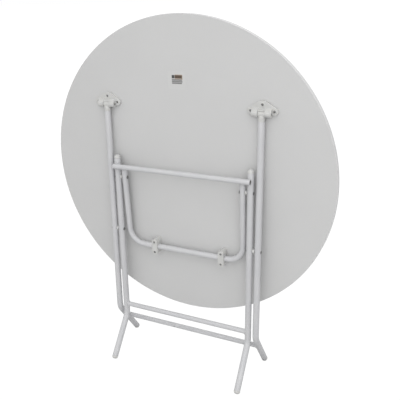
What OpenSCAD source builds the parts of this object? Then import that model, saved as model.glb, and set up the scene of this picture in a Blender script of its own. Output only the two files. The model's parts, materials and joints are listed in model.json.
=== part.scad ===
// Round folding bistro table, folded flat and standing on its four feet.
// X runs along the pivot axes, the underside of the top faces -Y and +Z is up.
// The origin is on the floor, midway between the front feet and the back feet.

/* [Tabletop] */
// Diameter of the round top, edge band included
top_d = 950; // [910:5:1000]
// Thickness of the board
board_t = 16; // [15:0.5:20]
// Thickness of the band around the edge of the board
band_t = 2; // [1:0.5:3]
// Height of the centre of the top above the floor when folded
top_centre_z = 662; // [650:1:675]

/* [Tubes] */
// Outside diameter of the leg tubes
leg_d = 20; // [19:0.5:20]
// Outside diameter of the crossbars
bar_d = 16; // [14:0.5:16]
// Outside diameter of the stay
stay_d = 18; // [16:0.5:18]
// Wall of every tube
tube_wall = 1.2; // [1:0.1:1.4]
// Radius of the bend above each foot, on the centre line
leg_bend_r = 48; // [36:3:60]

/* [Leg spacing] */
// Distance from the middle of the table to an outer leg
outer_leg_x = 255.5; // [254:0.5:258]
// Distance from the middle of the table to an inner leg
inner_leg_x = 228.5; // [228:0.5:229]
// Distance from the middle of the table to an arm of the stay
stay_arm_x = 203.5; // [203:0.5:206]

/* [Linkage] */
// Height of the leg hinge above the centre of the top
hinge_up = 207.5; // [200:0.5:210]
// Distance of the leg hinge in front of the underside
hinge_out = 12; // [11.8:0.1:13]
// Distance along the outer leg from the hinge to the crossing pivot
hinge_to_cross = 417; // [410:0.5:420]
// Distance along the inner leg from the crossing pivot to the stay pivot
cross_to_stay = 184; // [180:0.5:190]
// Distance of the stay clips below the centre of the top
clip_down = 258.5; // [255:0.5:265]
// Distance of the stay's bottom bar in front of the underside
clip_out = 20; // [18:0.5:22]
// Slope of the folded outer legs away from the top, in degrees
outer_slope = 2.9; // [2.7:0.1:3.2]
// Slope of the folded inner legs away from the top, in degrees
inner_slope = 2.5; // [2.2:0.1:3]

/* [Feet] */
// Distance along the outer leg from the hinge to the bend
outer_bend_at = 721.5; // [710:0.5:730]
// Distance along the inner leg from the crossing pivot to the bend
inner_bend_at = 324; // [315:0.5:335]
// Distance along the outer leg from the hinge to its lower crossbar
outer_bar_at = 778; // [770:0.5:785]
// Distance along the inner leg from the crossing pivot to its lower crossbar
inner_bar_at = 286; // [275:0.5:290]

/* [Stay] */
// Radius of the two corners of the stay, on the centre line
stay_corner_r = 52; // [40:1:56]
// Half of the distance between the two stay clips
clip_x = 119; // [110:0.5:121]
// Distance of the pair of clips to the right of the middle of the table
clip_shift = 12.5; // [0:0.5:13]
// Distance from the stay pivot up to the upper crossbar
upper_bar_above = 38; // [36:0.5:41]
// Distance from the stay pivot up to the top end of the inner leg tube
inner_leg_above = 61; // [57:0.5:64]

/* [Brackets and clips] */
// Distance between the two side screws of a hinge bracket
bracket_screw_gap = 70; // [68:1:70]
// Thickness of a bracket's plate
bracket_plate_t = 7; // [5:0.5:8]
// Distance between the two screws of a stay clip
clip_screw_gap = 36; // [34:0.5:38]
// Width of a stay clip
clip_w = 20; // [16:0.5:22]

/* [Hidden] */
$fn = 96;

// Fits
run_gap = 0.05;     // radial clearance of a pin in its bore
seat_gap = 0.03;    // clearance of a part pushed or glued into place
side_gap = 0.3;     // clearance beside a moving part
through = 1;        // how far a cutting shape passes a face
seat_overlap = 1;   // how far one shape runs into another of the same part

// Tubes
leg_r = leg_d / 2;
bar_r = bar_d / 2;
stay_r = stay_d / 2;

// Both legs bend in the slope of a 3-4-5 triangle
bend_angle = atan2(3, 4);

// Pivot places in the Y-Z plane, with Y measured from the underside of the top
hinge_y = -hinge_out;
hinge_z = top_centre_z + hinge_up;
cross_y = hinge_y - hinge_to_cross * sin(outer_slope);
cross_z = hinge_z - hinge_to_cross * cos(outer_slope);
stay_y = cross_y + cross_to_stay * sin(inner_slope);
stay_z = cross_z + cross_to_stay * cos(inner_slope);
clip_y = -clip_out;
clip_z = top_centre_z - clip_down;
stay_len = norm([stay_y - clip_y, stay_z - clip_z]);
stay_slope = atan2(clip_y - stay_y, stay_z - clip_z);

// Pivots
pin_r = 3;
bore_r = pin_r + run_gap;
rivet_head_r = 5.5;
rivet_head_t = 2;
spacer_r = 6.5;
dimple = 0.6;       // depth of the flat seat under a rivet head

// Plastic end caps
cap_lip = 0.3;      // how far a cap stands proud of the tube
cap_r = leg_r + cap_lip;
cap_fillet = 8;
foot_cap_t = 10;
top_cap_lip_t = 2;
plug_r = leg_r - tube_wall - seat_gap;
plug_len = 16;

// Distance from a bend to the end of its foot cap, so that the cap meets the floor
function foot_length(bend_z, lean) =
  cap_fillet + (bend_z - cap_fillet - (cap_r - cap_fillet) * sin(lean)) / cos(lean);

// How far a foot reaches sideways from its bend
function foot_reach(foot_len, lean) =
  cap_fillet + (foot_len - cap_fillet) * sin(lean) + (cap_r - cap_fillet) * cos(lean);

outer_lean = bend_angle - outer_slope;
inner_lean = bend_angle + inner_slope;
outer_foot_len = foot_length(hinge_z - outer_bend_at * cos(outer_slope), outer_lean);
inner_foot_len = foot_length(cross_z - inner_bend_at * cos(inner_slope), inner_lean);
back_y = hinge_y - outer_bend_at * sin(outer_slope) + foot_reach(outer_foot_len, outer_lean);
front_y = cross_y - inner_bend_at * sin(inner_slope) - foot_reach(inner_foot_len, inner_lean);

// The underside of the top, in the table's own frame
under_y = -(back_y + front_y) / 2;

// Vent holes in the tubes
vent_r = 1.8;
vent_bar_x = -53;
vent_leg_below_bend = 20;
vent_leg_turn = 55;  // how far the vent in the leg faces forward from straight out, in degrees

// Knuckle in the top end of an outer leg
knuckle_r = 8;
knuckle_half_w = 10.3;
knuckle_dome_down = 11; // distance from the hinge axis down to the middle of its domed neck
leg_top_gap = 21;   // distance from the hinge axis down to the tube

// Hinge bracket, seen from the front: its side ends and its arched top
side_end_r = 10.5;
side_screw_up = 7;
arch_r = 25;
arch_up = 12;
top_screw_up = 25.3;

// The two cheeks of a bracket: round about the pin, then sloping back to the plate
cheek_r = 10.5;
cheek_up = 2;
cheek_half_w = 29;
cheek_top_r = 6;
cheek_top_up = 10;
cheek_top_out = 8;

// The hood between the cheeks, cut away in front so that the leg can swing out
hood_r = 10.3;
hood_top_r = 5;
hood_top_up = 8;
hood_edge = 25;     // how far past upright the hood reaches, in degrees

// Screws
screw_r = 1.8;
screw_head_r = 3.6;
screw_head_t = 2.2;
screw_bite = 10;    // depth of the thread in the board
slot_w = 0.9;
slot_depth = 1.2;

// Stay clip
clip_wall = 3;      // plastic between the bar and the clip's front face
clip_depth = clip_out + stay_r + clip_wall;

// Label
label_w = 57;
label_h = 53;
label_t = 0.2;
label_x = -11.6;
label_up = 288;

white_paint = [0.86, 0.86, 0.87];
white_plastic = [0.84, 0.84, 0.81];
board_grey = [0.80, 0.80, 0.80];
steel = [0.45, 0.45, 0.45];

// ---------- frames of the moving parts ----------

// The tabletop: y = 0 is its underside
module on_table() {
  translate([0, under_y, 0]) children();
}

// The outer frame: the hinge is the origin and the legs run down -Z
module in_outer_frame() {
  translate([0, under_y + hinge_y, hinge_z]) rotate([-outer_slope, 0, 0]) children();
}

// The inner frame: the crossing pivot is the origin and the legs run along Z
module in_inner_frame() {
  translate([0, under_y + cross_y, cross_z]) rotate([-inner_slope, 0, 0]) children();
}

// The stay: the clips' axis is the origin and the arms run up +Z
module in_stay_frame() {
  translate([0, under_y + clip_y, clip_z]) rotate([stay_slope, 0, 0]) children();
}

// ---------- shared shapes ----------

// A cylinder along X from x0 to x1
module x_rod(r, x0, x1) {
  translate([x0, 0, 0]) rotate([0, 90, 0]) cylinder(r = r, h = x1 - x0);
}

// A copy on each side of the middle plane
module both_sides() {
  children();
  mirror([1, 0, 0]) children();
}

// Two circles and the straight sides that touch both
module belt(c1, r1, c2, r2) {
  d = norm(c2 - c1);
  turn = atan2(c2[1] - c1[1], c2[0] - c1[0]);
  lean = acos((r1 - r2) / d);
  translate(c1) circle(r = r1);
  translate(c2) circle(r = r2);
  polygon([
    c1 + r1 * [cos(turn + lean), sin(turn + lean)],
    c1 + r1 * [cos(turn - lean), sin(turn - lean)],
    c2 + r2 * [cos(turn - lean), sin(turn - lean)],
    c2 + r2 * [cos(turn + lean), sin(turn + lean)]
  ]);
}

// A flat outline drawn in X-Z and raised from the underside towards -Y
module on_underside(t) {
  rotate([90, 0, 0]) linear_extrude(t) children();
}

// A solid rod of radius r: straight down from top to the bend at bend_at, then
// straight for foot_len, leaning towards +Y
module bent_rod(r, top, bend_at, foot_len) {
  tangent = leg_bend_r * tan(bend_angle / 2);
  start = bend_at - tangent;
  foot = foot_len - tangent;
  translate([0, 0, -start]) cylinder(r = r, h = start + top);
  translate([0, leg_bend_r, -start]) {
    intersection() {
      rotate([0, 90, 0]) rotate([0, 0, -90])
        rotate_extrude(angle = 90) translate([leg_bend_r, 0]) circle(r = r);
      rotate([bend_angle, 0, 0]) translate([-leg_bend_r, -2 * leg_bend_r, 0])
        cube([2 * leg_bend_r, 2 * leg_bend_r, 2 * leg_bend_r]);
    }
    rotate([bend_angle, 0, 0]) translate([0, -leg_bend_r, -foot]) cylinder(r = r, h = foot);
  }
}

// A bent leg tube, open at both ends
module bent_tube(top, bend_at, foot_len) {
  difference() {
    bent_rod(leg_r, top, bend_at, foot_len);
    bent_rod(leg_r - tube_wall, top + through, bend_at, foot_len + through);
  }
}

// A straight tube along X, centred on the middle plane
module x_tube(half_len) {
  difference() {
    x_rod(bar_r, -half_len, half_len);
    x_rod(bar_r - tube_wall, -half_len - through, half_len + through);
  }
}

// A crossbar between two legs at +-leg_x, its ends shaped to fit the legs
module coped_bar(leg_x) {
  difference() {
    x_tube(leg_x);
    both_sides() translate([leg_x, 0, -leg_d]) cylinder(r = leg_r + seat_gap, h = 2 * leg_d);
  }
}

// The hole for a rivet through a tube at x, with a flat seat on the given side
module rivet_hole(x, tube_r, seat_side) {
  x_rod(bore_r, x - tube_r - through, x + tube_r + through);
  seat_x = x + seat_side * (tube_r - dimple);
  x_rod(rivet_head_r + side_gap, min(seat_x, seat_x + seat_side * 2 * through),
    max(seat_x, seat_x + seat_side * 2 * through));
}

// A domed rivet head whose flat side is at x, swelling towards +X
module rivet_head(x) {
  dome_r = (rivet_head_r * rivet_head_r + rivet_head_t * rivet_head_t) / (2 * rivet_head_t);
  translate([x, 0, 0]) rotate([0, 90, 0]) rotate_extrude() intersection() {
    translate([0, rivet_head_t - dome_r]) circle(r = dome_r);
    square([rivet_head_r, rivet_head_t]);
  }
}

// A ring along X from x0 to x1 around a rivet
module spacer(x0, x1) {
  difference() {
    x_rod(spacer_r, x0, x1);
    x_rod(bore_r, x0 - through, x1 + through);
  }
}

// Half a ball standing on the plane at the origin
module dome(r) {
  rotate_extrude() intersection() {
    circle(r = r);
    square(r);
  }
}

// A pan-head screw with a cross slot; its head stands on the plane at the origin
// and its thread runs towards -Z
module screw(thread_len) {
  dome_r = (screw_head_r * screw_head_r + screw_head_t * screw_head_t) / (2 * screw_head_t);
  translate([0, 0, -thread_len]) cylinder(r = screw_r, h = thread_len);
  difference() {
    rotate_extrude() intersection() {
      translate([0, screw_head_t - dome_r]) circle(r = dome_r);
      square([screw_head_r, screw_head_t]);
    }
    for (turn = [0, 90])
      rotate([0, 0, turn]) translate([-screw_head_r / 2, -slot_w / 2, screw_head_t - slot_depth])
        cube([screw_head_r, slot_w, slot_depth + through]);
  }
}

// The screw places of one bracket, as [x, z] from its hinge axis
bracket_screw_places = [
  [-bracket_screw_gap / 2, side_screw_up],
  [bracket_screw_gap / 2, side_screw_up],
  [0, top_screw_up]
];

// Every screw place on the underside: [x, z]
function bracket_places() = [
  for (side = [-1, 1], p = bracket_screw_places) [side * outer_leg_x + p[0], hinge_z + p[1]]
];
function clip_places() = [
  for (side = [-1, 1], up = [-1, 1]) [clip_shift + side * clip_x, clip_z + up * clip_screw_gap / 2]
];

// ---------- tabletop ----------

module tabletop_board() {
  color(board_grey) on_table() difference() {
    translate([0, 0, top_centre_z]) rotate([-90, 0, 0])
      cylinder(d = top_d - 2 * band_t, h = board_t, $fn = 240);
    for (p = concat(bracket_places(), clip_places()))
      translate([p[0], -through, p[1]]) rotate([-90, 0, 0])
        cylinder(r = screw_r + seat_gap, h = screw_bite + 2 * through);
  }
}

module edge_band() {
  color(white_paint) on_table() translate([0, 0, top_centre_z]) rotate([-90, 0, 0]) difference() {
    cylinder(d = top_d, h = board_t, $fn = 240);
    translate([0, 0, -through])
      cylinder(d = top_d - 2 * band_t + 2 * seat_gap, h = board_t + 2 * through, $fn = 240);
  }
}

module underside_label() {
  color("white") on_table()
    translate([label_x - label_w / 2, -label_t, top_centre_z + label_up - label_h / 2])
      cube([label_w, label_t, label_h]);
}

// ---------- hinge brackets ----------

// The hood over a knuckle, from the plate to just past the top of the knuckle
module hood(half_w) {
  wide = 3 * hood_r;
  translate([-half_w, 0, 0]) rotate([90, 0, 90]) linear_extrude(2 * half_w) difference() {
    belt([hinge_y, 0], hood_r, [-cheek_top_out, hood_top_up], hood_top_r);
    translate([hinge_y, 0]) rotate(hood_edge) translate([-wide, -wide]) square([wide, 2 * wide]);
    translate([hinge_y - wide, -wide]) square([2 * wide, wide]);
  }
}

// One bracket at its own hinge: x = 0 is the leg and z = 0 is the hinge axis
module hinge_bracket() {
  side = [bracket_screw_gap / 2, side_screw_up];
  inside = knuckle_half_w + side_gap;
  color(white_plastic) difference() {
    union() {
      on_underside(bracket_plate_t) {
        belt([-side[0], side[1]], side_end_r, side, side_end_r);
        intersection() {
          union() {
            belt([-side[0], side[1]], side_end_r, [0, arch_up], arch_r);
            belt(side, side_end_r, [0, arch_up], arch_r);
          }
          translate([-2 * side[0], side[1]]) square([4 * side[0], 3 * arch_r]);
        }
      }
      both_sides() translate([inside, 0, 0]) rotate([90, 0, 90])
        linear_extrude(cheek_half_w - inside)
          belt([hinge_y, cheek_up], cheek_r, [-cheek_top_out, cheek_top_up], cheek_top_r);
      hood(inside + seat_overlap);
    }
    translate([0, hinge_y, 0]) x_rod(bore_r, -cheek_half_w - through, cheek_half_w + through);
    translate([0, hinge_y, 0]) x_rod(knuckle_r + side_gap, -inside, inside);
    translate([-inside, hinge_y - leg_r, -leg_top_gap])
      cube([2 * inside, leg_d + side_gap, leg_top_gap]);
    for (p = bracket_screw_places)
      translate([p[0], through, p[1]]) rotate([90, 0, 0])
        cylinder(r = screw_r + run_gap, h = bracket_plate_t + 2 * through);
  }
}

module hinge_bracket_left() {
  on_table() translate([-outer_leg_x, 0, hinge_z]) hinge_bracket();
}

module hinge_bracket_right() {
  on_table() translate([outer_leg_x, 0, hinge_z]) hinge_bracket();
}

module hinge_pin(x) {
  color(steel) on_table() translate([x, hinge_y, hinge_z])
    x_rod(pin_r, -cheek_half_w, cheek_half_w);
}

module hinge_pin_left() {
  hinge_pin(-outer_leg_x);
}

module hinge_pin_right() {
  hinge_pin(outer_leg_x);
}

module bracket_screws() {
  color(steel) on_table() for (p = bracket_places())
    translate([p[0], -bracket_plate_t, p[1]]) rotate([90, 0, 0])
      screw(bracket_plate_t + screw_bite);
}

// ---------- stay clips ----------

// One clip around the stay's bottom bar: x = 0 is its middle and z = 0 is the bar
module stay_clip() {
  end = clip_screw_gap / 2;
  end_r = clip_w / 2;
  color(white_plastic) difference() {
    on_underside(clip_depth) belt([0, -end], end_r, [0, end], end_r);
    translate([0, clip_y, 0]) x_rod(stay_r + run_gap, -clip_w, clip_w);
    for (up = [-1, 1])
      translate([0, through, up * end]) rotate([90, 0, 0])
        cylinder(r = screw_r + run_gap, h = clip_depth + 2 * through);
  }
}

module stay_clip_left() {
  on_table() translate([clip_shift - clip_x, 0, clip_z]) stay_clip();
}

module stay_clip_right() {
  on_table() translate([clip_shift + clip_x, 0, clip_z]) stay_clip();
}

module clip_screws() {
  color(steel) on_table() for (p = clip_places())
    translate([p[0], -clip_depth, p[1]]) rotate([90, 0, 0])
      screw(clip_depth + screw_bite);
}

// ---------- outer leg frame ----------

module outer_leg(side) {
  color(white_paint) in_outer_frame() difference() {
    translate([side * outer_leg_x, 0, 0])
      bent_tube(-leg_top_gap, outer_bend_at, outer_foot_len - foot_cap_t);
    translate([0, 0, -hinge_to_cross]) rivet_hole(side * outer_leg_x, leg_r, side);
  }
}

module outer_leg_left() {
  outer_leg(-1);
}

module outer_leg_right() {
  outer_leg(1);
}

module leg_knuckle(side) {
  color(white_plastic) in_outer_frame() translate([side * outer_leg_x, 0, 0]) difference() {
    union() {
      x_rod(knuckle_r, -knuckle_half_w, knuckle_half_w);
      translate([0, 0, -leg_top_gap]) cylinder(r = leg_r, h = leg_top_gap - knuckle_dome_down);
      translate([0, 0, -knuckle_dome_down]) dome(leg_r);
      translate([0, 0, -leg_top_gap - plug_len])
        cylinder(r = plug_r, h = plug_len + leg_top_gap - knuckle_dome_down);
    }
    x_rod(bore_r, -knuckle_half_w - through, knuckle_half_w + through);
  }
}

module leg_knuckle_left() {
  leg_knuckle(-1);
}

module leg_knuckle_right() {
  leg_knuckle(1);
}

// The lower crossbar sits on the feet, just below the bend
module outer_lower_crossbar() {
  below = outer_bar_at - outer_bend_at;
  color(white_paint) in_outer_frame() translate([0, 0, -outer_bend_at])
    rotate([bend_angle, 0, 0]) translate([0, 0, -below]) difference() {
      coped_bar(outer_leg_x);
      translate([vent_bar_x, 0, 0]) rotate([90 - bend_angle, 0, 0])
        cylinder(r = vent_r, h = bar_d);
    }
}

// A rounded end cap on the tube end at the origin, its plug running up +Z
module foot_cap() {
  rotate_extrude() {
    translate([0, -foot_cap_t + cap_fillet]) square([cap_r, foot_cap_t - cap_fillet]);
    translate([0, -foot_cap_t]) square([cap_r - cap_fillet, cap_fillet]);
    translate([cap_r - cap_fillet, -foot_cap_t + cap_fillet]) intersection() {
      circle(r = cap_fillet);
      translate([0, -cap_fillet]) square(cap_fillet);
    }
  }
  cylinder(r = plug_r, h = plug_len);
}

// Places a foot cap at the end of a bent leg
module at_foot(x, bend_at, foot_len) {
  translate([x, 0, -bend_at]) rotate([bend_angle, 0, 0])
    translate([0, 0, -foot_len + foot_cap_t]) children();
}

module outer_foot_caps() {
  color(white_plastic) in_outer_frame() both_sides()
    at_foot(outer_leg_x, outer_bend_at, outer_foot_len) foot_cap();
}

// The outer part of each crossing rivet, held by the outer legs: the pivot is
// opened here, in the plane of the outer leg's inner side
module crossing_rivet_heads() {
  color(steel) in_outer_frame() both_sides() translate([0, 0, -hinge_to_cross]) {
    rivet_head(outer_leg_x + leg_r - dimple);
    x_rod(pin_r, outer_leg_x - leg_r + side_gap, outer_leg_x + leg_r - dimple);
  }
}

// ---------- inner leg frame ----------

module inner_leg(side) {
  color(white_paint) in_inner_frame() difference() {
    translate([side * inner_leg_x, 0, 0]) mirror([0, 1, 0])
      bent_tube(cross_to_stay + inner_leg_above, inner_bend_at, inner_foot_len - foot_cap_t);
    rivet_hole(side * inner_leg_x, leg_r, -side);
    translate([0, 0, cross_to_stay]) rivet_hole(side * inner_leg_x, leg_r, side);
    if (side < 0)
      translate([-inner_leg_x, 0, -inner_bend_at]) rotate([-bend_angle, 0, 0])
        translate([0, 0, -vent_leg_below_bend]) rotate([0, -90, vent_leg_turn])
          cylinder(r = vent_r, h = leg_d);
  }
}

module inner_leg_left() {
  inner_leg(-1);
}

module inner_leg_right() {
  inner_leg(1);
}

// Welded across the front of the inner legs; it also stops the opened stay
module inner_upper_crossbar() {
  color(white_paint) in_inner_frame()
    translate([0, -leg_r - bar_r - seat_gap, cross_to_stay + upper_bar_above])
      x_tube(inner_leg_x + leg_r / 2);
}

module inner_lower_crossbar() {
  color(white_paint) in_inner_frame() translate([0, 0, -inner_bar_at]) coped_bar(inner_leg_x);
}

module inner_top_caps() {
  color(white_plastic) in_inner_frame() both_sides()
    translate([inner_leg_x, 0, cross_to_stay + inner_leg_above]) {
      cylinder(r = cap_r, h = top_cap_lip_t);
      translate([0, 0, -plug_len]) cylinder(r = plug_r, h = plug_len);
      translate([0, 0, top_cap_lip_t]) dome(cap_r);
    }
}

module inner_foot_caps() {
  color(white_plastic) in_inner_frame() mirror([0, 1, 0]) both_sides()
    at_foot(inner_leg_x, inner_bend_at, inner_foot_len) foot_cap();
}

// The inner part of each crossing rivet, held by the inner legs
module crossing_rivets() {
  color(steel) in_inner_frame() both_sides() {
    mirror([1, 0, 0]) rivet_head(-inner_leg_x + leg_r - dimple);
    x_rod(pin_r, inner_leg_x - leg_r + dimple, outer_leg_x - leg_r - side_gap);
  }
}

module crossing_spacers() {
  color(white_plastic) in_inner_frame() both_sides()
    spacer(inner_leg_x + leg_r + seat_gap, outer_leg_x - leg_r - side_gap);
}

module stay_rivets() {
  color(steel) in_inner_frame() translate([0, 0, cross_to_stay]) both_sides() {
    rivet_head(inner_leg_x + leg_r - dimple);
    x_rod(pin_r, stay_arm_x - stay_r - side_gap, inner_leg_x + leg_r - dimple);
    mirror([1, 0, 0]) rivet_head(-stay_arm_x + stay_r + side_gap);
  }
}

module stay_spacers() {
  color(white_plastic) in_inner_frame() translate([0, 0, cross_to_stay]) both_sides()
    spacer(stay_arm_x + stay_r + side_gap, inner_leg_x - leg_r - seat_gap);
}

// ---------- stay ----------

stay_arm_above = 28;    // how far an arm passes its pivot

// Half of the stay's outline as a solid rod of radius r, ends lengthened by extra
module half_stay(r, extra) {
  corner_x = stay_arm_x - stay_corner_r;
  x_rod(r, 0, corner_x);
  translate([corner_x, 0, stay_corner_r]) rotate([90, 0, 0]) rotate([0, 0, -90])
    rotate_extrude(angle = 90) translate([stay_corner_r, 0]) circle(r = r);
  translate([stay_arm_x, 0, stay_corner_r])
    cylinder(r = r, h = stay_len + stay_arm_above + extra - stay_corner_r);
}

module stay_tube() {
  color(white_paint) in_stay_frame() difference() {
    both_sides() half_stay(stay_r, 0);
    both_sides() half_stay(stay_r - tube_wall, through);
    translate([0, 0, stay_len])
      both_sides() x_rod(bore_r, stay_arm_x - stay_d, stay_arm_x + stay_d);
  }
}

// ---------- output ----------

tabletop_board();
edge_band();
underside_label();
hinge_bracket_left();
hinge_bracket_right();
hinge_pin_left();
hinge_pin_right();
bracket_screws();
stay_clip_left();
stay_clip_right();
clip_screws();
outer_leg_left();
outer_leg_right();
leg_knuckle_left();
leg_knuckle_right();
outer_lower_crossbar();
outer_foot_caps();
crossing_rivet_heads();
inner_leg_left();
inner_leg_right();
inner_upper_crossbar();
inner_lower_crossbar();
inner_top_caps();
inner_foot_caps();
crossing_rivets();
crossing_spacers();
stay_rivets();
stay_spacers();
stay_tube();
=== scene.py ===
import json
import math

import bmesh
import bpy
from mathutils import Matrix, Vector


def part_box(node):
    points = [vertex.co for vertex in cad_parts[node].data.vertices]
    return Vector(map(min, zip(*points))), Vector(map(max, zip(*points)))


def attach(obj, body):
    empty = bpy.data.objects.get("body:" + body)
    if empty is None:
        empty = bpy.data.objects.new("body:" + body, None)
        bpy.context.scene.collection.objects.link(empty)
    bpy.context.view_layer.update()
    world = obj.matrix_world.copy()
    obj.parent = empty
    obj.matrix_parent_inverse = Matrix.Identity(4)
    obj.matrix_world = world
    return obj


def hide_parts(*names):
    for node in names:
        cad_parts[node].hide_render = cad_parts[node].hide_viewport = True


# Looks of a round folding bistro table, folded flat and standing on its four feet.
# Lengths are metres. X runs along the pivots, the underside faces -Y and +Z is up.

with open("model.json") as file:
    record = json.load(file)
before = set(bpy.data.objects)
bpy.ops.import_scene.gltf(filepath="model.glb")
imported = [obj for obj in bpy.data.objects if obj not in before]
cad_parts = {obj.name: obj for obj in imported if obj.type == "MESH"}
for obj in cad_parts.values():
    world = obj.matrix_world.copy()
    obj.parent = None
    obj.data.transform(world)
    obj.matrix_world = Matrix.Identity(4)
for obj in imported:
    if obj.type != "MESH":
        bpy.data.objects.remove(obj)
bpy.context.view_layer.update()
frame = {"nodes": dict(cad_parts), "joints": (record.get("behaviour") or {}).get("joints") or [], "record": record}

MM = 0.001
X_AXIS = Vector((1, 0, 0))
FRONT = Vector((0, -1, 0))
SIDES = {"left": -1, "right": 1}


# ---------- places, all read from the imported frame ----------

def middle(node):
    """The middle of a CAD node's box."""
    low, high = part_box(node)
    return (low + high) / 2


def pivot(joint_name):
    """The pivot of a joint, in the middle plane of the table."""
    joint = next(j for j in frame["joints"] if j["name"] == joint_name)
    return Vector(joint["pos_m"])


def in_middle_plane(point):
    """The same point moved to x = 0."""
    return Vector((0, point.y, point.z))


def crossing(point_a, way_a, point_b, way_b):
    """Where two lines of the middle plane cross."""
    between = point_b - point_a
    along = (between.y * way_b.z - between.z * way_b.y) / (way_a.y * way_b.z - way_a.z * way_b.y)
    return point_a + way_a * along


hinge = pivot("leg_fold")
clip_axis = pivot("stay_swing")
stay_pivot = pivot("inner_leg_turn")
cross_pivot = in_middle_plane(middle("crossing_rivets"))
outer_x = middle("outer_leg_right").x
inner_x = middle("inner_leg_right").x
outer_way = (cross_pivot - hinge).normalized()
inner_way = (cross_pivot - stay_pivot).normalized()
outer_bar = in_middle_plane(middle("outer_lower_crossbar"))
inner_bar = in_middle_plane(middle("inner_lower_crossbar"))
upper_bar = in_middle_plane(middle("inner_upper_crossbar"))

leg_low, leg_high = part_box("outer_leg_right")
leg_r = (leg_high.x - leg_low.x) / 2
bar_low, bar_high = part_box("inner_upper_crossbar")
bar_r = (bar_high.z - bar_low.z) / 2
stay_low, stay_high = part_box("stay_tube")
stay_r = clip_axis.z - stay_low.z

# Sizes of the CAD tubes that can't be read from a box
TUBE_WALL = 1.2 * MM
LEG_BEND_R = 48 * MM
STAY_CORNER_R = 52 * MM
OUTER_LEG_START = 21 * MM   # below the hinge
INNER_LEG_START = 61 * MM   # above the stay pivot
STAY_ARM_ABOVE = 28 * MM    # above the stay pivot
WELD_GAP = 0.03 * MM        # between a crossbar's end and the leg

top_low, top_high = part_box("edge_band")
board_low, board_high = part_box("tabletop_board")
top_r = (top_high.z - top_low.z) / 2
top_middle = Vector((0, board_low.y, (top_low.z + top_high.z) / 2))
board_t = board_high.y - board_low.y


# ---------- materials ----------

class Finish:
    """A Principled material whose textures use object coordinates in metres."""

    def __init__(self, name, metallic=0.0, coat=0.0):
        self.material = bpy.data.materials.new(name)
        self.material.use_nodes = True
        self.tree = self.material.node_tree
        self.shader = self.tree.nodes["Principled BSDF"]
        self.shader.inputs["Metallic"].default_value = metallic
        self.shader.inputs["Coat Weight"].default_value = coat
        self.shader.inputs["Coat Roughness"].default_value = 0.25
        self.where = self.add("ShaderNodeTexCoord").outputs["Object"]
        self.height = None

    def add(self, kind, **values):
        """A node, with its inputs set from numbers, colours or sockets."""
        node = self.tree.nodes.new(kind)
        for name, value in values.items():
            self.put(node.inputs[name.replace("_", " ")], value)
        return node

    def put(self, target, value):
        if isinstance(value, bpy.types.NodeSocket):
            self.tree.links.new(value, target)
        else:
            target.default_value = value

    def noise(self, size, detail=2.0, stretch=(1, 1, 1)):
        """Cloudy noise from 0 to 1 whose spots are about size metres wide."""
        place = self.add("ShaderNodeMapping", Vector=self.where, Scale=stretch)
        node = self.add("ShaderNodeTexNoise", Vector=place.outputs[0], Scale=1 / size, Detail=detail)
        return node.outputs["Fac"]

    def cells(self, size):
        """Distance to the nearest cell centre, for cells about size metres wide."""
        return self.add("ShaderNodeTexVoronoi", Vector=self.where, Scale=1 / size).outputs["Distance"]

    def remap(self, value, low, high, to_low, to_high):
        node = self.add("ShaderNodeMapRange", Value=value)
        ends = {"From Min": low, "From Max": high, "To Min": to_low, "To Max": to_high}
        for name, number in ends.items():
            node.inputs[name].default_value = number
        return node.outputs["Result"]

    def mix(self, share, colour_a, colour_b):
        node = self.tree.nodes.new("ShaderNodeMix")
        node.data_type = "RGBA"
        self.put(node.inputs["Factor"], share)
        colours = [i for i in node.inputs if i.type == "RGBA"]
        self.put(colours[0], colour_a)
        self.put(colours[1], colour_b)
        return next(o for o in node.outputs if o.type == "RGBA")

    def raise_by(self, height, distance):
        """Adds one layer of bump, distance metres high."""
        node = self.add("ShaderNodeBump", Height=height, Distance=distance)
        if self.height is not None:
            self.put(node.inputs["Normal"], self.height)
        self.height = node.outputs["Normal"]
        self.put(self.shader.inputs["Normal"], self.height)

    def done(self, colour, roughness):
        self.put(self.shader.inputs["Base Color"], colour)
        self.put(self.shader.inputs["Roughness"], roughness)
        return self.material


def rgb(red, green, blue):
    return (red, green, blue, 1.0)


def powder_coat():
    """Satin white powder coat with orange peel, faint cloudiness and a few dull specks."""
    f = Finish("white_powder_coat", coat=0.25)
    cloud = f.remap(f.noise(60 * MM, 3.0), 0.35, 0.65, 0.0, 1.0)
    speck = f.remap(f.noise(1.6 * MM, 2.0), 0.72, 0.80, 0.0, 1.0)
    paint = f.mix(cloud, rgb(0.520, 0.522, 0.536), rgb(0.545, 0.546, 0.556))
    paint = f.mix(f.remap(speck, 0, 1, 0, 0.25), paint, rgb(0.46, 0.46, 0.45))
    f.raise_by(f.noise(1.3 * MM, 1.0), 0.045 * MM)
    f.raise_by(f.noise(9 * MM, 1.0), 0.06 * MM)
    return f.done(paint, f.remap(cloud, 0, 1, 0.36, 0.45))


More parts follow.
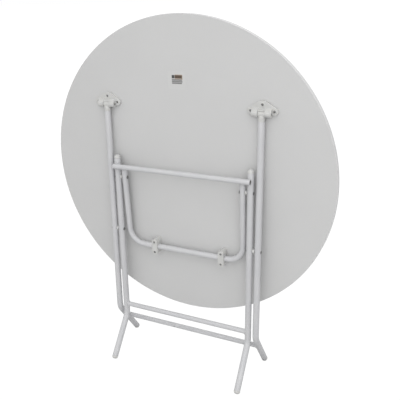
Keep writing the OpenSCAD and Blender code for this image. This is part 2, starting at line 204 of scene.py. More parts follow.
def melamine():
    """Matt pale laminate with a fine pebble and faint handling marks."""
    f = Finish("board_laminate")
    cloud = f.remap(f.noise(180 * MM, 4.0), 0.3, 0.7, 0.0, 1.0)
    fibre = f.remap(f.noise(2.2 * MM, 3.0, (1, 1, 0.35)), 0.35, 0.65, 0.0, 1.0)
    paper = f.mix(cloud, rgb(0.545, 0.545, 0.543), rgb(0.560, 0.560, 0.558))
    paper = f.mix(f.remap(fibre, 0, 1, 0, 0.10), paper, rgb(0.50, 0.50, 0.497))
    rub = f.remap(f.noise(240 * MM, 5.0, (1, 1, 2.2)), 0.60, 0.72, 0.0, 1.0)
    f.raise_by(f.cells(0.9 * MM), 0.02 * MM)
    f.raise_by(f.noise(3.0 * MM, 2.0), 0.03 * MM)
    return f.done(f.mix(f.remap(rub, 0, 1, 0, 0.18), paper, rgb(0.58, 0.58, 0.58)),
                  f.remap(rub, 0, 1, 0.56, 0.46))


def band_plastic():
    """Smooth white edge band, faintly striped along its length by the extrusion."""
    f = Finish("edge_banding", coat=0.2)
    stripe = f.remap(f.noise(0.9 * MM, 1.0, (0.02, 1, 0.02)), 0.35, 0.65, 0.0, 1.0)
    grime = f.remap(f.noise(35 * MM, 4.0), 0.55, 0.75, 0.0, 1.0)
    f.raise_by(stripe, 0.012 * MM)
    colour = f.mix(f.remap(grime, 0, 1, 0, 0.2), rgb(0.62, 0.62, 0.62), rgb(0.55, 0.55, 0.54))
    return f.done(colour, f.remap(stripe, 0, 1, 0.30, 0.38))


def moulded_plastic():
    """Warm white moulded nylon: fine spark-eroded grain and slow flow marks."""
    f = Finish("white_plastic")
    flow = f.remap(f.noise(14 * MM, 3.0, (1, 1, 0.4)), 0.35, 0.65, 0.0, 1.0)
    f.shader.inputs["Subsurface Weight"].default_value = 0.08
    f.shader.inputs["Subsurface Radius"].default_value = (1.5 * MM, 1.3 * MM, 1.0 * MM)
    f.shader.inputs["Subsurface Scale"].default_value = 1.0
    f.raise_by(f.noise(0.55 * MM, 2.0), 0.018 * MM)
    f.raise_by(f.noise(6 * MM, 1.0), 0.05 * MM)
    return f.done(f.mix(flow, rgb(0.525, 0.525, 0.513), rgb(0.555, 0.555, 0.543)),
                  f.remap(flow, 0, 1, 0.34, 0.44))


def zinc_steel():
    """Dull zinc-plated steel with fine turning marks and darker spots."""
    f = Finish("fastener_steel", metallic=0.9)
    grain = f.remap(f.noise(0.35 * MM, 3.0), 0.35, 0.65, 0.0, 1.0)
    spot = f.remap(f.noise(2.4 * MM, 3.0), 0.52, 0.66, 0.0, 1.0)
    f.raise_by(grain, 0.012 * MM)
    metal = f.mix(grain, rgb(0.20, 0.20, 0.20), rgb(0.27, 0.27, 0.265))
    return f.done(f.mix(f.remap(spot, 0, 1, 0, 0.6), metal, rgb(0.13, 0.125, 0.12)),
                  f.remap(grain, 0, 1, 0.36, 0.50))


def shaded_bare_tube():
    """The unpainted inside of a tube: oily mill scale with rusty clouds. Its very dark tone is partly the bare
    steel and partly painted shade that deepens the tube mouths.
    """
    f = Finish("shaded_bare_tube_inside", metallic=0.3)
    scale = f.remap(f.noise(3 * MM, 3.0), 0.35, 0.65, 0.0, 1.0)
    rust = f.remap(f.noise(14 * MM, 3.0), 0.55, 0.7, 0.0, 0.4)
    f.raise_by(scale, 0.03 * MM)
    # The very dark tones are partly painted shade for the insides of the tube mouths.
    metal = f.mix(scale, rgb(0.10, 0.10, 0.10), rgb(0.16, 0.155, 0.15))
    return f.done(f.mix(rust, metal, rgb(0.17, 0.11, 0.07)), f.remap(scale, 0, 1, 0.5, 0.7))


def label_paper():
    """Coated white paper with short fibres."""
    f = Finish("label_paper")
    fibre = f.remap(f.noise(0.8 * MM, 4.0, (1, 1, 3)), 0.4, 0.65, 0.0, 1.0)
    f.raise_by(fibre, 0.01 * MM)
    return f.done(f.mix(f.remap(fibre, 0, 1, 0, 0.3), rgb(0.565, 0.565, 0.562), rgb(0.545, 0.545, 0.542)),
                  f.remap(fibre, 0, 1, 0.42, 0.55))


def printing_ink(name, dark, light):
    """Ink with a halftone-like unevenness between two shades."""
    f = Finish(name)
    dots = f.remap(f.cells(0.5 * MM), 0.1, 0.7, 0.0, 1.0)
    f.raise_by(dots, 0.004 * MM)
    return f.done(f.mix(dots, dark, light), f.remap(dots, 0, 1, 0.40, 0.50))


PAINT = powder_coat()
# Tube insides: bare steel, kept very dark as partly painted shade.
BARE_WITH_PAINTED_SHADE = shaded_bare_tube()
BOARD = melamine()
BAND = band_plastic()
PLASTIC = moulded_plastic()
STEEL = zinc_steel()
PAPER = label_paper()
DARK_INK = printing_ink("ink_dark", rgb(0.03, 0.03, 0.03), rgb(0.08, 0.08, 0.075))
BROWN_INK = printing_ink("ink_brown", rgb(0.05, 0.035, 0.025), rgb(0.12, 0.085, 0.06))
GREY_INK = printing_ink("ink_grey", rgb(0.15, 0.15, 0.15), rgb(0.24, 0.24, 0.24))
TAN_INK = printing_ink("ink_tan", rgb(0.38, 0.31, 0.26), rgb(0.50, 0.43, 0.37))


# ---------- mesh helpers ----------

def new_piece(name, mesh, material, body, smooth_angle=35):
    """Links a mesh as a piece on a body. Edges sharper than smooth_angle degrees stay crisp."""
    mesh.name = name
    piece = bpy.data.objects.new(name, mesh)
    bpy.context.scene.collection.objects.link(piece)
    if not mesh.materials:
        mesh.materials.append(material)
    mesh.polygons.foreach_set("use_smooth", [True] * len(mesh.polygons))
    mesh.set_sharp_from_angle(angle=math.radians(smooth_angle))
    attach(piece, body)
    return piece


def mesh_from(verts, faces, name="shape"):
    """A clean mesh with its faces turned outwards."""
    mesh = bpy.data.meshes.new(name)
    mesh.from_pydata([tuple(v) for v in verts], [], faces)
    work = bmesh.new()
    work.from_mesh(mesh)
    bmesh.ops.recalc_face_normals(work, faces=work.faces)
    work.to_mesh(mesh)
    work.free()
    return mesh


def rings_mesh(rings, closed_round=True):
    """A mesh through rings of points, each joined to the next, and the last to the first if asked."""
    count = len(rings[0])
    verts = [p for ring in rings for p in ring]
    faces = []
    links = len(rings) if closed_round else len(rings) - 1
    for i in range(links):
        a, b = i * count, (i + 1) % len(rings) * count
        for k in range(count):
            n = (k + 1) % count
            faces.append((a + k, a + n, b + n, b + k))
    if not closed_round:
        faces.append(tuple(range(count)))
        last = (len(rings) - 1) * count
        faces.append(tuple(range(last, last + count)))
    return mesh_from(verts, faces)


def circle_about(centre, across, up, radius, count):
    """Points on a circle spanned by two unit vectors."""
    turn = 2 * math.pi / count
    return [centre + (across * math.cos(k * turn) + up * math.sin(k * turn)) * radius for k in range(count)]


def applied(piece):
    """The piece's mesh with its modifiers applied. The piece itself is removed."""
    graph = bpy.context.evaluated_depsgraph_get()
    mesh = bpy.data.meshes.new_from_object(piece.evaluated_get(graph))
    bpy.data.objects.remove(piece)
    return mesh


def loose_object(name, mesh):
    """A helper object that is applied or removed before the script ends."""
    helper = bpy.data.objects.new(name, mesh)
    bpy.context.scene.collection.objects.link(helper)
    return helper


def cut(mesh, cutters):
    """The mesh with each cutter's mesh taken away from it."""
    body = loose_object("cut_body", mesh)
    tools = []
    for cutter in cutters:
        tool = loose_object("cut_tool", cutter)
        modifier = body.modifiers.new("cut", "BOOLEAN")
        modifier.operation = "DIFFERENCE"
        modifier.solver = "EXACT"
        modifier.object = tool
        tools.append(tool)
    result = applied(body)
    for tool in tools:
        bpy.data.objects.remove(tool)
    return result


def rod_mesh(start, end, radius, count=32):
    """A solid round rod, used to cut holes and seats."""
    way = (end - start).normalized()
    across = way.orthogonal().normalized()
    up = way.cross(across)
    return rings_mesh([circle_about(p, across, up, radius, count) for p in (start, end)], False)


# ---------- tubes ----------

TUBE_SEGMENTS = 56
RIM_STEPS = 4
STRAIGHT_STEP = 40 * MM


def rounded_path(corners, bend_r, arc_steps=14):
    """Points and directions along straight runs joined by arcs of radius bend_r."""
    stations = [(corners[0], (corners[1] - corners[0]).normalized())]

    def run_to(end):
        start, way = stations[-1]
        steps = max(1, round((end - start).length / STRAIGHT_STEP))
        for i in range(1, steps + 1):
            stations.append((start.lerp(end, i / steps), way))

    for before, corner, after in zip(corners, corners[1:], corners[2:]):
        way_in = (corner - before).normalized()
        way_out = (after - corner).normalized()
        angle = way_in.angle(way_out)
        tangent = bend_r * math.tan(angle / 2)
        run_to(corner - way_in * tangent)
        inward = (way_out - way_in * way_out.dot(way_in)).normalized()
        centre = corner - way_in * tangent + inward * bend_r
        for i in range(1, arc_steps + 1):
            turned = angle * i / arc_steps
            place = centre - inward * bend_r * math.cos(turned) + way_in * bend_r * math.sin(turned)
            way = way_in * math.cos(turned) + inward * math.sin(turned)
            stations.append((place, way))
    run_to(corners[-1])
    return stations


def tube_mesh(stations, plane_normal, outer_r):
    """A hollow tube along a flat path, with its two rims rounded."""
    inner_r = outer_r - TUBE_WALL
    half = TUBE_WALL / 2

    def ring(place, way, radius):
        return circle_about(place, plane_normal, plane_normal.cross(way), radius, TUBE_SEGMENTS)

    def rim(place, way, outward):
        """The rounded lip at one end, from the outer wall round to the inner wall."""
        rows = []
        for i in range(1, RIM_STEPS):
            turned = math.pi * i / RIM_STEPS
            radius = inner_r + half + half * math.cos(turned)
            rows.append(ring(place + way * outward * half * (math.sin(turned) - 1), way, radius))
        return rows

    (start, start_way), (end, end_way) = stations[0], stations[-1]
    trimmed = [(start + start_way * half, start_way)] + stations[1:-1] + [(end - end_way * half, end_way)]
    rings = [ring(p, w, outer_r) for p, w in trimmed]
    rings += rim(end, end_way, 1)
    rings += [ring(p, w, inner_r) for p, w in reversed(trimmed)]
    rings += list(reversed(rim(start, start_way, -1)))
    mesh = rings_mesh(rings)
    mesh.materials.append(PAINT)
    mesh.materials.append(BARE_WITH_PAINTED_SHADE)
    # The inside wall gets the dark bare-steel finish, which is partly painted shade for the tube mouths.
    inside = len(trimmed) + RIM_STEPS - 1
    for face in mesh.polygons[inside * TUBE_SEGMENTS:(inside + len(trimmed) - 1) * TUBE_SEGMENTS]:
        face.material_index = 1
    return mesh


RIVET_SEAT_R = 5.8 * MM
RIVET_SEAT_DEPTH = 0.6 * MM
RIVET_HOLE_R = 3.05 * MM
VENT_R = 1.8 * MM
LEG_VENT_BELOW = 20 * MM            # below the bend of the left inner leg
LEG_VENT_TURN = math.radians(55)    # from straight out towards the front
BAR_VENT_X = -53 * MM
PAST = 2 * MM


def rivet_cutters(x, at, seat_side):
    """The hole for a rivet and the flat seat of its head, in a leg at x."""
    side_of_leg = at + X_AXIS * (x + seat_side * (leg_r - RIVET_SEAT_DEPTH))
    hole = rod_mesh(at + X_AXIS * (x - leg_r - PAST), at + X_AXIS * (x + leg_r + PAST), RIVET_HOLE_R)
    seat = rod_mesh(side_of_leg, side_of_leg + X_AXIS * seat_side * PAST, RIVET_SEAT_R)
    return [hole, seat]


FOOT_CAP_R = leg_r + 0.3 * MM
FOOT_CAP_T = 10 * MM
FOOT_FILLET = 8 * MM
BEND = math.atan2(3, 4)


def foot_end(caps, foot_way):
    """Where a leg tube ends above its foot cap, in the middle plane."""
    low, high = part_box(caps)
    toe_y = high.y if foot_way.y > 0 else low.y
    side = math.copysign(1, foot_way.y)
    rim = FOOT_CAP_R - FOOT_FILLET
    heel = Vector((0, toe_y - side * (FOOT_FILLET - rim * foot_way.z), FOOT_FILLET + rim * abs(foot_way.y)))
    return heel - foot_way * (FOOT_CAP_T - FOOT_FILLET)


def leaning(way, angle):
    """A direction of the middle plane turned by angle about X."""
    return Matrix.Rotation(angle, 3, "X") @ way


outer_foot_way = leaning(outer_way, BEND)
inner_foot_way = leaning(inner_way, -BEND)
outer_toe = foot_end("outer_foot_caps", outer_foot_way)
inner_toe = foot_end("inner_foot_caps", inner_foot_way)
outer_corner = crossing(hinge, outer_way, outer_toe, outer_foot_way)
inner_corner = crossing(cross_pivot, inner_way, inner_toe, inner_foot_way)
outer_leg_start = hinge + outer_way * OUTER_LEG_START
inner_leg_start = stay_pivot - inner_way * INNER_LEG_START


def build_legs():
    outer_path = rounded_path([outer_leg_start, outer_corner, outer_toe], LEG_BEND_R)
    inner_path = rounded_path([inner_leg_start, inner_corner, inner_toe], LEG_BEND_R)
    for name, side in SIDES.items():
        shift = Matrix.Translation(X_AXIS * side * outer_x)
        mesh = tube_mesh([(shift @ p, w) for p, w in outer_path], X_AXIS, leg_r)
        mesh = cut(mesh, rivet_cutters(side * outer_x, cross_pivot, side))
        leg = new_piece("outer_leg_tube_" + name, mesh, PAINT, "outer_legs")
        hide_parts("outer_leg_" + name)

        shift = Matrix.Translation(X_AXIS * side * inner_x)
        mesh = tube_mesh([(shift @ p, w) for p, w in inner_path], X_AXIS, leg_r)
        cutters = rivet_cutters(side * inner_x, cross_pivot, -side)
        cutters += rivet_cutters(side * inner_x, stay_pivot, side)
        if name == "left":
            vent = inner_corner + inner_foot_way * LEG_VENT_BELOW + X_AXIS * side * inner_x
            foot_front = inner_foot_way.cross(X_AXIS)
            faces = X_AXIS * side * math.cos(LEG_VENT_TURN) + foot_front * math.sin(LEG_VENT_TURN)
            cutters.append(rod_mesh(vent, vent + faces * (leg_r + PAST), VENT_R))
        mesh = cut(mesh, cutters)
        leg = new_piece("inner_leg_tube_" + name, mesh, PAINT, "inner_legs")
        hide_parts("inner_leg_" + name)


def build_stay():
    """The U-shaped stay, its arms drilled for the stay rivets."""
    arm_x = (stay_high.x - stay_low.x) / 2 - stay_r
    arm_way = (stay_pivot - clip_axis).normalized()
    arm_top = stay_pivot + arm_way * STAY_ARM_ABOVE
    corners = [arm_top - X_AXIS * arm_x, clip_axis - X_AXIS * arm_x, clip_axis + X_AXIS * arm_x,
               arm_top + X_AXIS * arm_x]
    normal = X_AXIS.cross(arm_way)
    mesh = tube_mesh(rounded_path(corners, STAY_CORNER_R), normal, stay_r)
    reach = X_AXIS * (stay_r + PAST)
    holes = [rod_mesh(stay_pivot + X_AXIS * side * arm_x - reach, stay_pivot + X_AXIS * side * arm_x + reach,
                      RIVET_HOLE_R) for side in SIDES.values()]
    stay = new_piece("stay_bent_tube", cut(mesh, holes), PAINT, "stay")
    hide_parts("stay_tube")


def coped_ring(centre, leg_x, leg_way, side, radius, gap, count):
    """A ring about a crossbar's end whose points all lie gap off the round side of the leg at leg_x."""
    across = leg_way.cross(X_AXIS).normalized()
    points = []
    for k in range(count):
        turned = 2 * math.pi * k / count
        beside = radius * math.sin(turned)
        reach = leg_x - math.sqrt((leg_r + gap) ** 2 - beside ** 2)
        points.append(centre + leg_way * radius * math.cos(turned) + across * beside + X_AXIS * side * reach)
    return points


def coped_bar_mesh(centre, leg_x, leg_way):
    """A crossbar between two legs, its ends shaped to the legs' round sides."""
    across = leg_way.cross(X_AXIS).normalized()
    inner_r = bar_r - TUBE_WALL

    def end_ring(radius, side):
        return coped_ring(centre, leg_x, leg_way, side, radius, WELD_GAP, TUBE_SEGMENTS)

    def plain_ring(radius, x):
        return circle_about(centre + X_AXIS * x, leg_way, across, radius, TUBE_SEGMENTS)

    places = [leg_x * share for share in (-0.9, -0.6, -0.3, 0, 0.3, 0.6, 0.9)]
    outside = [end_ring(bar_r, -1)] + [plain_ring(bar_r, x) for x in places] + [end_ring(bar_r, 1)]
    inside = [end_ring(inner_r, -1)] + [plain_ring(inner_r, x) for x in places] + [end_ring(inner_r, 1)]
    return rings_mesh(outside + inside[::-1])


BEAD_R = 1.7 * MM
BEAD_SEGMENTS = 10
BEAD_OFF = 0.5 * MM         # how far a bead's middle stands off the bar and the leg
TANGENT_BEAD_R = 5.5 * MM   # round the spot where the upper bar touches a leg
TANGENT_BEAD_EXTRA = 0.9 * MM


def bead_mesh(points, radii):
    """A closed round weld bead through points, with one radius for each."""
    count = len(points)
    rings = []
    for i, point in enumerate(points):
        way = (points[(i + 1) % count] - points[i - 1]).normalized()
        across = way.cross(X_AXIS)
        if across.length < 0.1:
            across = way.orthogonal()
        across.normalize()
        rings.append(circle_about(point, across, way.cross(across), radii[i], BEAD_SEGMENTS))
    return rings_mesh(rings)


def rippled(index, count, ripples=17):
    """The uneven thickness of a hand-made bead, as a factor."""
    turned = 2 * math.pi * index / count
    return 1 + 0.12 * math.sin(ripples * turned) + 0.07 * math.sin(3 * turned + 1)


def coped_bead(centre, leg_x, leg_way, side):
    """The weld where a crossbar's end meets the side of a leg."""
    count = 96
    points = coped_ring(centre, leg_x, leg_way, side, bar_r + BEAD_OFF, BEAD_OFF, count)
    return bead_mesh(points, [BEAD_R * rippled(i, count) for i in range(count)])


def tangent_bead(bar_centre, leg_x, leg_way, leg_centre):
    """The weld around the spot where a crossbar lies against the front of a leg."""
    front = (bar_centre - leg_centre).normalized()
    count = 64
    points, radii = [], []
    for i in range(count):
        turned = 2 * math.pi * i / count
        x = TANGENT_BEAD_R * math.cos(turned)
        along = TANGENT_BEAD_R * math.sin(turned)
        from_leg = math.sqrt(leg_r ** 2 - x ** 2)
        from_bar = leg_r + bar_r - math.sqrt(bar_r ** 2 - along ** 2)
        points.append(leg_centre + X_AXIS * (leg_x + x) + leg_way * along + front * (from_leg + from_bar) / 2)
        radii.append(((from_bar - from_leg) / 2 + TANGENT_BEAD_EXTRA) * rippled(i, count, 11))
    return bead_mesh(points, radii)


def build_crossbars():
    vent = outer_bar + X_AXIS * BAR_VENT_X
    mesh = cut(coped_bar_mesh(outer_bar, outer_x, outer_foot_way),
               [rod_mesh(vent, vent + FRONT * (bar_r + PAST), VENT_R)])
    bar = new_piece("outer_lower_bar", mesh, PAINT, "outer_legs")
    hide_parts("outer_lower_crossbar")

    mesh = coped_bar_mesh(inner_bar, inner_x, inner_way)
    bar = new_piece("inner_lower_bar", mesh, PAINT, "inner_legs")
    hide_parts("inner_lower_crossbar")

    half = (bar_high.x - bar_low.x) / 2
    path = rounded_path([upper_bar - X_AXIS * half, upper_bar + X_AXIS * half], bar_r)
    mesh = tube_mesh(path, inner_way, bar_r)
    bar = new_piece("inner_upper_bar", mesh, PAINT, "inner_legs")
    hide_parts("inner_upper_crossbar")

    leg_by_bar = stay_pivot + inner_way * (upper_bar - stay_pivot).dot(inner_way)
    for name, side in SIDES.items():
        upper_bead = tangent_bead(upper_bar, side * inner_x, inner_way, leg_by_bar)
        beads = {
            "weld_outer_lower_": (coped_bead(outer_bar, outer_x, outer_foot_way, side), "outer_legs"),
            "weld_inner_lower_": (coped_bead(inner_bar, inner_x, inner_way, side), "inner_legs"),
            "weld_inner_upper_": (upper_bead, "inner_legs"),
        }
        for prefix, (mesh, body) in beads.items():
            new_piece(prefix + name, mesh, PAINT, body, 60)


# ---------- tabletop ----------

BAND_T = 2 * MM
BAND_ROUND = 0.9 * MM
BAND_SEGMENTS = 360
SEAM_GAP = 0.25 * MM


def build_edge_band():
    """One strip bent round the board, its two ends meeting in a fine seam at the bottom."""
    profile = [(top_r - BAND_T + 0.05 * MM, 0.0)]
    steps = 5
    for i in range(steps + 1):
        turned = math.pi / 2 * i / steps
        profile.append((top_r - BAND_ROUND + BAND_ROUND * math.sin(turned),
                        BAND_ROUND - BAND_ROUND * math.cos(turned)))
    profile += [(r, board_t - y) for r, y in reversed(profile)]
    half_gap = SEAM_GAP / top_r / 2
    rings = []
    for k in range(BAND_SEGMENTS + 1):
        turned = half_gap + (2 * math.pi - 2 * half_gap) * k / BAND_SEGMENTS
        out = Vector((math.sin(turned), 0, -math.cos(turned)))
        rings.append([top_middle + out * r + Vector((0, y, 0)) for r, y in profile])
    band = new_piece("edge_banding_strip", rings_mesh(rings, False), BAND, "tabletop")
    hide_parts("edge_band")


LABEL_ROUND = 3 * MM
LABEL_LIFT = 0.35 * MM      # how far its corners lift
GLUE_T = 0.02 * MM
PAPER_T = 0.15 * MM
INK_LIFT = 0.03 * MM
# Each printed bar: left and right, bottom and top, as shares of the label from its middle, and its ink
PRINT = [
    (-0.20, 0.70, 0.08, 0.66, TAN_INK),
    (-0.54, -0.22, 0.22, 0.58, DARK_INK),
    (-0.19, 0.64, 0.22, 0.58, BROWN_INK),
    (-0.54, 0.64, -0.02, 0.14, GREY_INK),
    (-0.54, 0.68, -0.20, -0.05, GREY_INK),
    (-0.54, 0.62, -0.38, -0.23, GREY_INK),
]


def build_label():
    """A paper label with rounded corners that lift a little, printed with plain bars."""
    low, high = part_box("underside_label")
    centre = (low + high) / 2
    half_w, half_h = (high.x - low.x) / 2, (high.z - low.z) / 2
    back = board_low.y

    def place(u, v, lift):
        corner = (abs(u) ** 6) * (abs(v) ** 6)
        pull = LABEL_ROUND * (1 - 1 / math.sqrt(2)) * corner
        x = centre.x + u * half_w - math.copysign(pull, u)
        z = centre.z + v * half_h - math.copysign(pull, v)
        return Vector((x, back - lift - LABEL_LIFT * corner, z))

    def patch(left, right, bottom, top, lift, thick, columns, rows):
        """A thin sheet on the label's curved surface."""
        verts, faces = [], []
        for y_level in (lift, lift + thick):
            for j in range(rows + 1):
                for i in range(columns + 1):
                    u = left + (right - left) * i / columns
                    v = bottom + (top - bottom) * j / rows
                    verts.append(place(u, v, y_level))
        layer = (rows + 1) * (columns + 1)
        wide = columns + 1
        for j in range(rows):
            for i in range(columns):
                a = j * wide + i
                square = (a, a + 1, a + wide + 1, a + wide)
                faces.append(square)
                faces.append(tuple(layer + k for k in reversed(square)))
        rim = list(range(columns)) + [j * wide + columns for j in range(rows)]
        rim += [rows * wide + i for i in range(columns, 0, -1)] + [j * wide for j in range(rows, 0, -1)]
        for a, b in zip(rim, rim[1:] + rim[:1]):
            faces.append((a, b, layer + b, layer + a))
        return mesh_from(verts, faces)

    sheet_mesh = patch(-1, 1, -1, 1, GLUE_T, PAPER_T, 28, 26)
    sheet = new_piece("label_sheet", sheet_mesh, PAPER, "tabletop")
    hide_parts("underside_label")
    for k, (left, right, bottom, top, ink) in enumerate(PRINT):
        lift = GLUE_T + PAPER_T + INK_LIFT * (1 if k == 0 else 2)
        print_mesh = patch(left, right, bottom, top, lift, INK_LIFT, 8, 4)
        new_piece("label_print_%d" % k, print_mesh, ink, "tabletop")


# ---------- moulded parts ----------

def copied_mesh(node):
    """A welded copy of a CAD node's mesh."""
    work = bmesh.new()
    work.from_mesh(frame["nodes"][node].data)
    bmesh.ops.remove_doubles(work, verts=work.verts, dist=0.002 * MM)
    mesh = bpy.data.meshes.new(node + "_copy")
    work.to_mesh(mesh)
    work.free()
    return mesh


def joined(meshes):
    """Several meshes as one."""
    work = bmesh.new()
    for mesh in meshes:
        work.from_mesh(mesh)
    mesh = bpy.data.meshes.new("joined")
    work.to_mesh(mesh)
    work.free()
    return mesh


def moulded(name, node, body, voxel, extras=(), rounds=6, slack=0):
    """A CAD plastic part with rounded edges and inside corners, taken in all over by slack."""
    helper = loose_object("mould", joined([copied_mesh(node)] + list(extras)))
    remesh = helper.modifiers.new("remesh", "REMESH")
    remesh.mode = "VOXEL"
    remesh.voxel_size = voxel
    smooth = helper.modifiers.new("smooth", "SMOOTH")
    smooth.factor = 0.5
    smooth.iterations = rounds
    if slack:
        shrink = helper.modifiers.new("shrink", "DISPLACE")
        shrink.mid_level = 0
        shrink.strength = -slack
    piece = new_piece(name, applied(helper), PLASTIC, body, 80)
    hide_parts(node)


def ring_mesh(centre, way, radius, thick, count=40, round_count=12):
    """A ring about the direction way, round in section."""
    across = way.orthogonal().normalized()
    up = way.cross(across)
    rings = []
    for k in range(count):
        turned = 2 * math.pi * k / count
        out = across * math.cos(turned) + up * math.sin(turned)
        rings.append(circle_about(centre + out * radius, out, way, thick, round_count))
    return rings_mesh(rings)


SCREW_RING_R = 5.2 * MM
BRACKET_RING_T = 1.1 * MM
CLIP_RING_T = 0.88 * MM
BRACKET_FRONT = 7 * MM      # the faces that the screws go into, from the board
CLIP_FRONT = 32 * MM
KNUCKLE_SLACK = 0.2 * MM    # keeps the knuckles clear of the brackets when they turn


def screw_middles(node):
    """The middles of a node's separate screws, from its mesh."""
    work = bmesh.new()
    work.from_mesh(frame["nodes"][node].data)
    bmesh.ops.remove_doubles(work, verts=work.verts, dist=0.002 * MM)
    found, seen = [], set()
    for start in work.verts:
        if start in seen:
            continue
        group, todo = [], [start]
        seen.add(start)
        while todo:
            vert = todo.pop()
            group.append(vert.co.copy())
            for edge in vert.link_edges:
                other = edge.other_vert(vert)
                if other not in seen:
                    seen.add(other)
                    todo.append(other)
        low = Vector([min(p[i] for p in group) for i in range(3)])
        high = Vector([max(p[i] for p in group) for i in range(3)])
        found.append((low + high) / 2)
    work.free()
    return found


def screw_rings(node, side, front, thick):
    """The raised rings round the screws of one side, on a face that stands front off the board."""
    return [ring_mesh(Vector((p.x, board_low.y - front, p.z)), FRONT, SCREW_RING_R, thick)
            for p in screw_middles(node) if p.x * side > 0]


def build_moulded_parts():
    for name, side in SIDES.items():
        rings = screw_rings("bracket_screws", side, BRACKET_FRONT, BRACKET_RING_T)
        moulded("bracket_" + name, "hinge_bracket_" + name, "tabletop", voxel=0.55 * MM, extras=rings)
        rings = screw_rings("clip_screws", side, CLIP_FRONT, CLIP_RING_T)
        moulded("clip_" + name, "stay_clip_" + name, "tabletop", voxel=0.45 * MM, extras=rings)
        moulded("knuckle_" + name, "leg_knuckle_" + name, "outer_legs", voxel=0.45 * MM, slack=KNUCKLE_SLACK)
    moulded("foot_cap_outer", "outer_foot_caps", "outer_legs", voxel=0.5 * MM, rounds=3)
    moulded("foot_cap_inner", "inner_foot_caps", "inner_legs", voxel=0.5 * MM, rounds=3)
    moulded("top_cap_inner", "inner_top_caps", "inner_legs", voxel=0.5 * MM, rounds=3)


def dress_frame_nodes():
    """Gives every CAD node that stays in view its own finish."""
    finishes = {
        "board_laminate": BOARD,
        "edge_banding": BAND,
        "label_paper": PAPER,
        "white_powder_coat": PAINT,
        "white_plastic": PLASTIC,
        "fastener_steel": STEEL,
    }
    for part in frame["record"]["subparts"]:
        node = frame["nodes"][part["node"]]
        node.data.materials.clear()
        node.data.materials.append(finishes[part["material_slot"]])


# ---------- floor, light and camera ----------

FLOOR_SEEN = 0.02       # the floor's own tone where the camera sees it
FLOOR_BOUNCE = 0.55     # and its tone for the light that it sends back up
FLOOR_GLOW = 1.0        # glow that only the camera sees
FLOOR_HALF = 60.0
SKY_LOW = 0.82          # at the horizon
SKY_HIGH = 1.02         # straight overhead


def build_floor():
    """A wide plain floor that looks white and sends about half of the light back up."""
    steps = 12
    verts = [Vector((2 * i / steps - 1, 2 * j / steps - 1, 0)) * FLOOR_HALF
             for j in range(steps + 1) for i in range(steps + 1)]
    wide = steps + 1
    faces = [(j * wide + i, j * wide + i + 1, (j + 1) * wide + i + 1, (j + 1) * wide + i)
             for j in range(steps) for i in range(steps)]
    mesh = mesh_from(verts, faces, "floor")
    floor = bpy.data.objects.new("floor", mesh)
    bpy.context.scene.collection.objects.link(floor)
    f = Finish("floor_white")
    seen = f.add("ShaderNodeLightPath").outputs["Is Camera Ray"]
    f.shader.inputs["Emission Color"].default_value = rgb(1, 1, 1)
    f.put(f.shader.inputs["Emission Strength"], f.remap(seen, 0, 1, 0, FLOOR_GLOW))
    tone = f.remap(seen, 0, 1, FLOOR_BOUNCE, FLOOR_SEEN)
    grain = f.remap(f.noise(1.5, 2.0), 0.3, 0.7, 0.98, 1.0)
    shade = f.add("ShaderNodeMath", Value=tone)
    shade.operation = "MULTIPLY"
    f.put(shade.inputs[1], grain)
    mesh.materials.append(f.done(shade.outputs[0], 0.9))


def build_sky():
    """A plain surround that is brighter overhead than at the sides."""
    world = bpy.data.worlds.new("surround")
    bpy.context.scene.world = world
    world.use_nodes = True
    nodes, links = world.node_tree.nodes, world.node_tree.links
    light = nodes["Background"]
    light.inputs["Color"].default_value = rgb(1, 1, 1)
    place = nodes.new("ShaderNodeTexCoord")
    parts = nodes.new("ShaderNodeSeparateXYZ")
    level = nodes.new("ShaderNodeMapRange")
    level.inputs["From Min"].default_value = 0.0
    level.inputs["From Max"].default_value = 1.0
    level.inputs["To Min"].default_value = SKY_LOW
    level.inputs["To Max"].default_value = SKY_HIGH
    links.new(place.outputs["Generated"], parts.inputs["Vector"])
    links.new(parts.outputs["Z"], level.inputs["Value"])
    links.new(level.outputs["Result"], light.inputs["Strength"])
    seen = nodes.new("ShaderNodeBackground")
    seen.inputs["Color"].default_value = rgb(1, 1, 1)
    seen.inputs["Strength"].default_value = 1.0
    choice = nodes.new("ShaderNodeMixShader")
    path = nodes.new("ShaderNodeLightPath")
    links.new(path.outputs["Is Camera Ray"], choice.inputs["Fac"])
    links.new(light.outputs["Background"], choice.inputs[1])
    links.new(seen.outputs["Background"], choice.inputs[2])
    links.new(choice.outputs["Shader"], nodes["World Output"].inputs["Surface"])


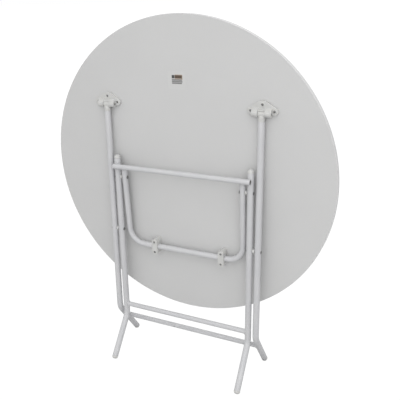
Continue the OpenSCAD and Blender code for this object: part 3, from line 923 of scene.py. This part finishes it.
def soft_light(name, place, aim, size, power):
    """A square soft box at place, facing aim."""
    lamp = bpy.data.lights.new(name, "AREA")
    lamp.shape = "SQUARE"
    lamp.size = size
    lamp.energy = power
    box = bpy.data.objects.new(name, lamp)
    box.location = place
    box.rotation_mode = "QUATERNION"
    box.rotation_quaternion = (aim - place).to_track_quat("-Z", "Y")
    bpy.context.scene.collection.objects.link(box)


CAMERA_AZIMUTH = 25.611
CAMERA_ELEVATION = 21.338
CAMERA_ROLL = -1.917
CAMERA_DISTANCE = 1.68024
CAMERA_LENS = 48.226
CAMERA_AIM = top_middle + Vector((0.05164, 0, -0.08003))


def build_camera():
    """Sets the scene's camera and returns its rightward and backward directions."""
    azimuth, elevation, roll = map(math.radians, (CAMERA_AZIMUTH, CAMERA_ELEVATION, CAMERA_ROLL))
    back = Vector((math.sin(azimuth) * math.cos(elevation), -math.cos(azimuth) * math.cos(elevation),
                   math.sin(elevation)))
    level = Vector((math.cos(azimuth), math.sin(azimuth), 0))
    upright = back.cross(level)
    right = level * math.cos(roll) + upright * math.sin(roll)
    up = upright * math.cos(roll) - level * math.sin(roll)
    data = bpy.data.cameras.new("camera")
    data.sensor_width = 36
    data.lens = CAMERA_LENS
    camera = bpy.data.objects.new("camera", data)
    turned = Matrix((right, up, back)).transposed().to_4x4()
    camera.matrix_world = Matrix.Translation(CAMERA_AIM + back * CAMERA_DISTANCE) @ turned
    bpy.context.scene.collection.objects.link(camera)
    bpy.context.scene.camera = camera
    return right, back


dress_frame_nodes()
build_edge_band()
build_label()
build_legs()
build_stay()
build_crossbars()
build_moulded_parts()
build_floor()
build_sky()
cam_right, cam_back = build_camera()
beside_camera = CAMERA_AIM + cam_back * 2.2 - cam_right * 0.4
soft_light("overhead", top_middle + Vector((0.8, -2.4, 5.0)), aim=top_middle, size=2.6, power=36)
soft_light("right_key", top_middle + Vector((3.6, -2.4, 1.6)), aim=top_middle, size=2.0, power=6)
soft_light("front_fill", beside_camera, aim=CAMERA_AIM, size=2.4, power=15.5)
bpy.context.scene.view_settings.view_transform = "Standard"
